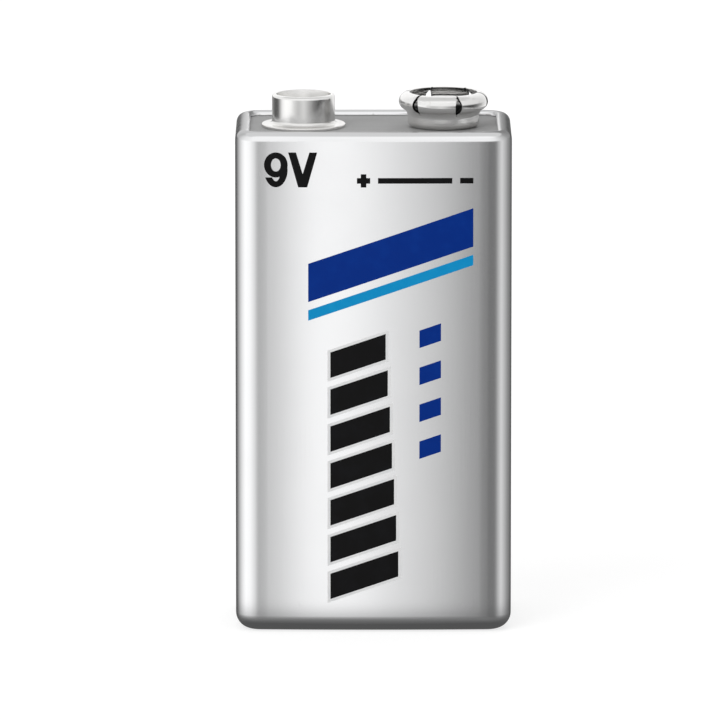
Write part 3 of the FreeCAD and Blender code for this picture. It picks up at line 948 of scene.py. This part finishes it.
@dataclass
class SnapSocket:
    """The negative terminal: a drawn cup, flared and slit into six spring fingers."""

    bore: float = 2.95 * MM
    sheet: float = 0.3 * MM
    height: float = 3.16 * MM
    fold_radius: float = 0.48 * MM
    neck_top: float = 0.98 * MM
    flare_radius: float = 0.75 * MM
    flare_width: float = 0.8 * MM
    curl_radius: float = 0.85 * MM
    curl_angle: float = 10.0
    hole_radius: float = 1.25 * MM
    slit_count: int = 6
    slit_turn: float = 20.0
    slit_foot_rise: float = 0.54 * MM
    slit_lip_run: float = 0.36 * MM
    slit_top_width: float = 0.22 * MM
    slit_belly_width: float = 0.6 * MM
    finger_steps: int = 20
    edge_bevel: float = 0.035 * MM
    bevel_steps: int = 3
    bevel_degrees: float = 55.0
    sharp_degrees: float = 50.0
    # Height above the board below which the cup's inside is painted with shade.
    shade_inside_top: float = 1.9 * MM

    def path(self) -> list[Station]:
        """The middle line of the sheet, from the floor's hole to the lip.

        Returns:
            (radius, height, outward radius part, outward height part) for each point.
        """
        half = self.sheet / 2
        neck = self.bore + self.sheet
        fold = (neck - self.fold_radius, self.fold_radius)
        belly_radius = neck + self.flare_width
        curl = (belly_radius - self.curl_radius, self.height - self.curl_radius)
        rise = curl[1] - self.neck_top
        swing = math.degrees(2 * math.atan2(self.flare_width, rise))
        bends = (self.flare_width**2 + rise**2) / (2 * self.flare_width)
        belly_bend = bends - self.flare_radius
        flare = (neck + self.flare_radius, self.neck_top)
        belly = (belly_radius - belly_bend, curl[1])
        made = [(self.hole_radius, half, 0.0, -1.0)]
        made += arc(fold, self.fold_radius - half, 270, 360, 8)
        made.append((neck - half, (fold[1] + self.neck_top) / 2, 1.0, 0.0))
        for r, z, c, s in arc(flare, self.flare_radius + half, 180, 180 - swing, 10):
            made.append((r, z, -c, -s))
        made += arc(belly, belly_bend - half, -swing, 0, 18)
        made += arc(curl, self.curl_radius - half, 0, 90 + self.curl_angle, 16)
        return made

    def slit_half_width(self, height: float) -> float:
        """Half the slit's width at a height above the board.

        Args:
            height: The height, in metres.

        Returns:
            The width of a leaf with a pointed foot and a narrow, straight mouth.
        """
        foot = self.neck_top + self.slit_foot_rise
        shoulder = self.height - self.slit_lip_run
        mouth, belly = self.slit_top_width / 2, self.slit_belly_width / 2
        if height <= foot:
            return 0.0
        if height >= shoulder:
            return mouth
        along = 2 * (height - foot) / (shoulder - foot) - 1
        bow = belly - mouth / 2
        return max(0.0, mouth * (1 + along) / 2 + bow * (1 - along * along))

    def mesh(self) -> tuple[list[Spot], list[tuple[int, ...]]]:
        """The fingers side by side, joined below the feet of their slits.

        Returns:
            The vertices and the faces.
        """
        path = self.path()
        half, steps = self.sheet / 2, self.finger_steps
        step_angle = 2 * math.pi / self.slit_count
        first_slit = math.radians(-90 + self.slit_turn)
        numbers: dict[Spot, int] = {}
        faces: list[tuple[int, ...]] = []

        def number(r: float, z: float, turn: float) -> int:
            """The vertex at that point, shared where two fingers meet."""
            x, y = TERMINAL_X + r * math.cos(turn), r * math.sin(turn)
            return numbers.setdefault(
                (round(x, 9), round(y, 9), round(BOARD_TOP + z, 9)), len(numbers)
            )

        for finger in range(self.slit_count):
            start = first_slit + finger * step_angle
            grid = []
            for radius, height, out_r, out_z in path:
                row = []
                for side in (half, -half):
                    r, z = radius + side * out_r, height + side * out_z
                    gap = math.asin(self.slit_half_width(height) / r)
                    begin, sweep = start + gap, step_angle - 2 * gap
                    row.append([
                        number(r, z, begin + sweep * step / steps) for step in range(steps + 1)
                    ])
                grid.append(row)
            for (outer, inner), (outer_up, inner_up), above in zip(grid, grid[1:], path[1:]):
                for a in range(steps):
                    b = a + 1
                    faces.append((outer[a], outer[b], outer_up[b], outer_up[a]))
                    faces.append((inner[b], inner[a], inner_up[a], inner_up[b]))
                if self.slit_half_width(above[1]):
                    faces.append((outer[0], outer_up[0], inner_up[0], inner[0]))
                    faces.append((inner[-1], inner_up[-1], outer_up[-1], outer[-1]))
            for (outer, inner), order in ((grid[0], 1), (grid[-1], -1)):
                for a in range(steps):
                    faces.append((outer[a + 1], outer[a], inner[a], inner[a + 1])[::order])
        faces = [tuple(dict.fromkeys(face)) for face in faces]
        return list(numbers), [face for face in faces if len(face) > 2]

    def build(self) -> bpy.types.Object:
        """Makes the cup and rounds its cut edges.

        Returns:
            The socket.
        """
        piece = make_piece("snap_socket", *self.mesh(), self.sharp_degrees)
        rounding = piece.modifiers.new("rounded_edges", "BEVEL")
        rounding.width, rounding.segments = self.edge_bevel, self.bevel_steps
        rounding.limit_method, rounding.angle_limit = "ANGLE", math.radians(self.bevel_degrees)
        rounding.harden_normals = True
        # The inside low down and the walls of the slits are painted near black as shade.
        top = BOARD_TOP + self.shade_inside_top
        finish = NickelPlate("nickel_socket", TERMINAL_X, shade_inside_top=top, cut_edge_shade=1.0)
        return add_piece(piece, finish, "negative_socket")


@dataclass
class HollowRivet:
    """A hollow rivet with a rolled head in the terminal's floor and a tail under the strip."""

    name: str
    node: str
    axis_x: float
    floor: float = 0.3 * MM
    base_z: float = 43.92 * MM
    grip: float = 1.4 * MM
    radius: float = 1.2 * MM
    wall: float = 0.35 * MM
    head_width: float = 0.7 * MM
    head_thickness: float = 0.15 * MM
    tail_width: float = 0.6 * MM
    tail_thickness: float = 0.25 * MM
    edge_round: float = 0.12 * MM
    mouth_round: float = 0.14 * MM
    # Height below which the rivet's bore is painted with shade.
    shade_inside_top: float = 45.8 * MM
    sides: int = 72

    def build(self) -> bpy.types.Object:
        """Turns the rivet's section, with rounded rims.

        Returns:
            The rivet.
        """
        bore, soft, mouth = self.radius - self.wall, self.edge_round, self.mouth_round
        head, tail = self.radius + self.head_width, self.radius + self.tail_width
        seat, under = self.floor + self.grip, -self.tail_thickness
        top = seat + self.head_thickness
        points = bend((bore + soft, under + soft), soft, 180, 270, 6)
        points += bend((tail - soft, under + soft), soft, 270, 360, 6)
        points += [(tail, 0.0), (self.radius, 0.0), (self.radius, seat), (head, seat)]
        points += bend((head - soft, top - soft), soft, 0, 90, 6)
        points += bend((bore + mouth, top - mouth), mouth, 90, 180, 6)
        piece = turned(self.name, self.axis_x, self.base_z, points, self.sides)
        # The bore is painted near black as shade.
        finish = NickelPlate("nickel_" + self.name, self.axis_x, shade_inside_top=self.shade_inside_top)
        return add_piece(piece, finish, self.node)


@dataclass
class CadPieces:
    """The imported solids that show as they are, each with its own finish."""

    board: Finish = MouldedPlastic()
    strip: Finish = RolledStrip()

    def finishes(self) -> list[tuple[Finish, list[str]]]:
        """Which kept solids have which finish.

        Returns:
            Every finish with the names of its nodes.
        """
        cells = [place + "_cell" for place in ("front", "middle", "rear")]
        tabs = [f"{cell}_{pole}_tab" for cell in cells for pole in ("positive", "negative")]
        contacts = ["positive_contact", "negative_contact", "front_link", "middle_link"]
        return [
            (self.board, ["terminal_board", "base_plate"]),
            (self.strip, contacts + tabs),
            (Stock.FUSE.value, ["thermal_fuse"]),
            (Stock.CARD.value, ["insulating_card"]),
            (Stock.FILM.value, ["cell_liner"]),
            (Stock.FOAM.value, ["base_pad", "front_cell_pad", "middle_cell_pad"]),
            (Stock.POUCH.value, cells),
            *((ink.value, ["print_" + ink.name.lower()]) for ink in Print),
        ]

    def build(self) -> None:
        """Dresses the solids where they are."""
        for finish, names in self.finishes():
            for name in names:
                finish.dress(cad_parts[name])
                log.info("%s: packed solid, finish %s", name, finish.name)


# Studio


def level_at(stops: Pattern, degrees: float) -> float:
    """The brightness in a direction.

    Args:
        stops: (degrees, brightness) pairs in rising order.
        degrees: The direction, 0 being the front.

    Returns:
        The brightness between the two nearest stops.
    """
    for (before, low), (after, high) in zip(stops, stops[1:]):
        if degrees <= after:
            return low + (high - low) * (degrees - before) / (after - before)
    return stops[-1][1]


def stage_material(name: str) -> tuple[bpy.types.Material, Graph]:
    """A new material for the stage, which isn't sampled as a lamp where it glows.

    Args:
        name: The material's name.

    Returns:
        The material and its cleared graph.
    """
    made = bpy.data.materials.new(name)
    made.use_nodes = True
    made.cycles.emission_sampling = "NONE"
    return made, Graph(made.node_tree)


def one_sided(name: str, lets_through: bool) -> bpy.types.Material:
    """A glow of the mesh's own level on a wall's front, which lets everything through from behind.

    Args:
        name: The material's name.
        lets_through: Whether what stands behind the wall is seen through its front too.

    Returns:
        The material.
    """
    made, graph = stage_material(name)
    level = graph.node("ShaderNodeAttribute", {"attribute_name": LEVEL}, output="Fac")
    glow, clear = graph.glow(level), graph.clear()
    front = graph.both(glow, clear) if lets_through else glow
    behind = graph.node("ShaderNodeNewGeometry", output="Backfacing")
    graph.shown(graph.either(behind, front, clear))
    return made


def hidden_from_camera(thing: bpy.types.Object) -> bpy.types.Object:
    """Marks a stage object that only glossy reflections see.

    Args:
        thing: The object.

    Returns:
        The same object.
    """
    for rays in ("camera", "diffuse", "transmission", "volume_scatter", "shadow"):
        setattr(thing, "visible_" + rays, False)
    return thing


def flat_square(name: str, reach: float, height: float, faces_up: bool) -> bpy.types.Object:
    """A level square about the Z axis.

    Args:
        name: The object's name.
        reach: How far it goes each way, in metres.
        height: Its height.
        faces_up: Whether its front is above, or else below.

    Returns:
        The object.
    """
    corners = [(x * reach, y * reach, height) for x, y in ((-1, -1), (1, -1), (1, 1), (-1, 1))]
    return make_piece(name, corners, [(0, 1, 2, 3) if faces_up else (0, 3, 2, 1)])


@dataclass(frozen=True)
class RoundWall:
    """A round wall far about the battery, bright on its inner side, that only reflections see.

    Its rows are heights, each with its pattern of brightness.
    """

    name: str
    radius: float
    rows: Sequence[tuple[float, Pattern]]
    lets_through: bool = False
    steps: int = 720

    def build(self) -> bpy.types.Object:
        """Makes the wall from columns of points, each with its level.

        Returns:
            The wall.
        """
        count = len(self.rows)
        points, levels, faces = [], [], []
        for step in range(self.steps + 1):
            degrees = -180 + 360 * step / self.steps
            turn = math.radians(degrees)
            x, y = self.radius * math.sin(turn), -self.radius * math.cos(turn)
            points += [(x, y, height) for height, _ in self.rows]
            levels += [level_at(pattern, degrees) for _, pattern in self.rows]
        for first in range(0, count * self.steps, count):
            for index in range(first, first + count - 1):
                faces.append((index, index + 1, index + count + 1, index + count))
        wall = make_piece(self.name, points, faces)
        wall.data.attributes.new(LEVEL, "FLOAT", "POINT").data.foreach_set("value", levels)
        wall.data.materials.append(one_sided(self.name, self.lets_through))
        return hidden_from_camera(wall)

    def build_for(self, things: Sequence[bpy.types.Object], state: str) -> None:
        """Builds the wall and chooses which pieces it lights.

        Args:
            things: The pieces.
            state: INCLUDE for these pieces alone, EXCLUDE for all but these.
        """
        receivers = bpy.data.collections.new(self.name + "_receivers")
        for thing in things:
            receivers.objects.link(thing)
        for entry in receivers.collection_objects:
            entry.light_linking.link_state = state
        self.build().light_linking.receiver_collection = receivers


@dataclass(frozen=True)
class SoftLamp:
    """A large square lamp that doesn't show in reflections."""

    name: str
    spot: Spot
    size: float
    power: float

    def build(self, target: Spot) -> None:
        """Hangs the lamp and turns it to the target.

        Args:
            target: Where it points.
        """
        data = bpy.data.lights.new(self.name, "AREA")
        data.size, data.energy = self.size, self.power
        lamp = bpy.data.objects.new(self.name, data)
        bpy.context.scene.collection.objects.link(lamp)
        lamp.location = self.spot
        aim = Vector(target) - Vector(self.spot)
        lamp.rotation_mode = "QUATERNION"
        lamp.rotation_quaternion = aim.to_track_quat("-Z", "Y")
        lamp.visible_glossy = False


@dataclass(frozen=True)
class Floor:
    """A white floor that takes the battery's shadow.

    It is open under the battery and from below. In reflections alone it has a shade round the
    battery's base, and nothing further out.
    """

    reach: float = 4.0
    paper: float = 0.34
    glow: float = 0.72
    shade_level: float = 0.095
    shade_reach: float = 11.5 * MM
    shade_curve: float = 0.92
    opening: float = 0.2 * MM

    def zones(self, graph: Graph) -> tuple[Port, Port]:
        """Where the base's shade and the open part of the floor lie.

        Args:
            graph: The floor's node graph.

        Returns:
            A value that rises from 0 at the base to 1 where its shade ends, and one that is 1
            well under the battery and 0 elsewhere.
        """
        case = CaseOutline()
        corner = case.corner_radius
        _, x, y, _ = graph.place()
        beyond_x = (x.magnitude() - (case.width / 2 - corner)).largest(0.0)
        beyond_y = (y.magnitude() - (case.depth / 2 - corner)).largest(0.0)
        beyond = (beyond_x * beyond_x + beyond_y * beyond_y) ** 0.5 - corner
        fade = (beyond.largest(0.0) / self.shade_reach).smallest(1.0) ** self.shade_curve
        return fade, beyond.ranged(self.opening - corner, self.opening / 2 - corner)

    def build(self) -> None:
        """Lays the floor and mixes its finish for each kind of ray."""
        floor = flat_square("studio_floor", self.reach, 0.0, True)
        made, graph = stage_material("white_floor")
        camera, glossy, through = graph.rays()
        paper = graph.node("ShaderNodeBsdfDiffuse", inputs={"Color": grey(self.paper)})
        lit = graph.both(paper, graph.glow(self.glow * camera.largest(through)))
        fade, under = self.zones(graph)
        clear = graph.clear()
        mirrored = graph.either(fade, graph.glow(self.shade_level), clear)
        above = graph.either(glossy, lit, mirrored)
        below = graph.node("ShaderNodeNewGeometry", output="Backfacing")
        graph.shown(graph.either(below.largest(under), above, clear))
        floor.data.materials.append(made)


@dataclass(frozen=True)
class Ceiling:
    """A ceiling, bright in front and softer behind, which only reflections see."""

    reach: float = 0.32
    height: float = 0.21
    run: Point = (-95 * MM, -35 * MM)
    levels: Point = (1.06, 0.72)

    def build(self) -> None:
        """Hangs the ceiling, with its front below."""
        ceiling = flat_square("ceiling_card", self.reach, self.height, False)
        made, graph = stage_material("ceiling_card")
        _, _, y, _ = graph.place()
        graph.shown(graph.glow(y.ranged(*self.run, *self.levels)))
        ceiling.data.materials.append(made)
        hidden_from_camera(ceiling)


@dataclass(frozen=True)
class LongLens:
    """A long lens in front and a little above, with the battery where the picture has it."""

    distance: float = 0.9
    pitch: float = 9.7
    aim: Spot = (0.0, -7.9 * MM, 23 * MM)
    pixels_per_radian: float = 9955.0
    centre_shift: Point = (-13.5, 23.0)
    clip: Point = (0.05, 12.0)

    def build(self) -> None:
        """Sets the camera up and makes it the scene's own."""
        data = bpy.data.cameras.new("camera")
        data.sensor_width = SENSOR_WIDTH
        data.lens = self.pixels_per_radian / IMAGE_SIZE * data.sensor_width
        data.clip_start, data.clip_end = self.clip
        camera = bpy.data.objects.new("camera", data)
        bpy.context.scene.collection.objects.link(camera)
        pitch = math.radians(self.pitch)
        per_metre = self.pixels_per_radian / self.distance
        across, down = self.centre_shift[0] / per_metre, self.centre_shift[1] / per_metre
        up = Vector((0, math.sin(pitch), math.cos(pitch)))
        back = Vector((0, -math.cos(pitch), math.sin(pitch)))
        aim = Vector(self.aim) + Vector((across, 0, 0)) + up * down
        camera.location = aim + back * self.distance
        camera.rotation_euler = (math.radians(90) - pitch, 0, 0)
        bpy.context.scene.camera = camera


@dataclass
class Studio:
    """The stage: a plain world, the floor, the ceiling, far walls, soft lamps and the camera.

    The terminals reflect a wall of their own, and everything else the other wall.
    """

    terminals: Sequence[bpy.types.Object]
    sky_light: float = 0.42
    lamp_target: Spot = (0.0, 0.0, 25 * MM)
    lamps: tuple[SoftLamp, ...] = (
        SoftLamp("key_lamp", (-0.38, -0.42, 0.46), size=0.5, power=2.5),
        SoftLamp("top_lamp", (0.05, 0.1, 0.62), size=0.6, power=0.9),
        SoftLamp("fill_lamp", (0.5, -0.4, 0.25), size=0.5, power=1.0),
        SoftLamp("back_lamp", (0.1, 0.6, 0.35), size=0.5, power=1.2),
    )
    wall_radius: float = 100 * MM
    wall_heights: tuple[float, ...] = (
        -160 * MM, -70 * MM, -22 * MM, 52 * MM, 62 * MM, 150 * MM,
    )
    wall_lower: Pattern = (
        (-180, 0.95), (-174, 0.90), (-170, 0.40), (-165, 0.10), (-150, 0.09), (-136, 0.12),
        (-124, 0.23), (-112, 0.48), (-97.5, 0.75), (-86, 0.98), (-72, 1.18), (-51, 1.10),
        (-31, 0.80), (-22, 0.58), (-16, 0.49), (-12.5, 0.42), (-10.5, 0.42), (-9, 0.58),
        (-7.8, 0.92), (-6.0, 1.28), (-2.7, 1.14), (0.1, 0.99), (3, 0.79), (6.5, 0.65), (8, 0.55),
        (9.5, 0.27), (11.5, 0.18), (14, 0.19), (25, 0.19), (40, 0.20), (47, 0.27), (57, 0.50),
        (71, 0.75), (89, 0.52), (105, 0.33), (128, 0.19), (146, 0.09), (165, 0.10), (170, 0.40),
        (174, 0.90), (180, 0.95),
    )
    wall_foot: Pattern = (
        (-180, 0.75), (-150, 0.45), (-110, 0.50), (-60, 0.85), (0, 0.80), (60, 0.60), (110, 0.45),
        (150, 0.45), (180, 0.75),
    )
    wall_upper: Pattern = (
        (-180, 0.58), (-168, 0.62), (-150, 0.60), (-120, 0.50), (-80, 0.90), (-40, 1.05),
        (0, 1.03), (40, 0.95), (80, 0.60), (110, 0.35), (150, 0.25), (168, 0.25), (175, 0.32),
        (180, 0.58),
    )
    terminal_radius: float = 98 * MM
    terminal_heights: tuple[float, ...] = (-160 * MM, 46 * MM, 56 * MM, 150 * MM)
    terminal_wall: Pattern = (
        (-180, 0.50), (-150, 0.35), (-123, 0.10), (-104, 0.12), (-96, 0.40), (-83, 1.05),
        (-68, 1.25), (-50, 1.18), (-35, 0.78), (-23, 0.60), (-11, 0.70), (-4, 0.80), (4, 0.72),
        (11, 0.58), (23, 0.40), (35, 0.22), (44, 0.14), (55, 0.08), (65, 0.05), (74, 0.05),
        (83, 0.07), (92, 0.14), (103, 0.32), (115, 0.60), (123, 0.80), (137, 0.95), (150, 0.95),
        (180, 0.50),
    )
    terminal_upper: Pattern = (
        (-180, 1.12), (-150, 1.12), (-120, 0.95), (-80, 1.00), (-40, 1.05), (0, 1.03), (40, 0.95),
        (80, 0.85), (120, 0.80), (150, 1.00), (180, 1.12),
    )

    def build(self) -> None:
        """Sets the stage, in order."""
        self.make_world()
        Floor().build()
        Ceiling().build()
        self.make_walls()
        for lamp in self.lamps:
            lamp.build(self.lamp_target)
        LongLens().build()

    def make_walls(self) -> None:
        """Two far walls round the battery, each seen only by its own pieces' reflections."""
        foot, lower, upper = self.wall_foot, self.wall_lower, self.wall_upper
        rows = list(zip(self.wall_heights, (foot, foot, lower, lower, upper, upper)))
        RoundWall("card_wall", self.wall_radius, rows).build_for(self.terminals, "EXCLUDE")
        own, high = self.terminal_wall, self.terminal_upper
        rows = list(zip(self.terminal_heights, (own, own, high, high)))
        inner = RoundWall("terminal_wall", self.terminal_radius, rows, lets_through=True)
        inner.build_for(self.terminals, "INCLUDE")

    def make_world(self) -> None:
        """White for the camera and the reflections, softer as light on the battery."""
        world = bpy.data.worlds.new("studio")
        bpy.context.scene.world = world
        world.use_nodes = True
        graph = Graph(world.node_tree)
        camera, glossy, through = graph.rays()
        seen = camera.largest(glossy).largest(through)
        strength = self.sky_light + (1 - self.sky_light) * seen
        inputs = {"Color": grey(1.0), "Strength": strength}
        sky = graph.node("ShaderNodeBackground", inputs=inputs)
        graph.node("ShaderNodeOutputWorld", inputs={"Surface": sky})


def main() -> None:
    """Builds the battery's pieces, dresses the solids and sets the stage."""
    logging.basicConfig(level=logging.INFO, format="%(message)s")
    bpy.context.scene.view_settings.view_transform = "Standard"
    Sleeve().build()
    terminals = [
        SnapStud().build(),
        SnapSocket().build(),
        HollowRivet("stud_rivet", "positive_rivet", -TERMINAL_X).build(),
        HollowRivet("socket_rivet", "negative_rivet", TERMINAL_X).build(),
    ]
    CadPieces().build()
    Studio(terminals).build()


if __name__ == "__main__":
    main()
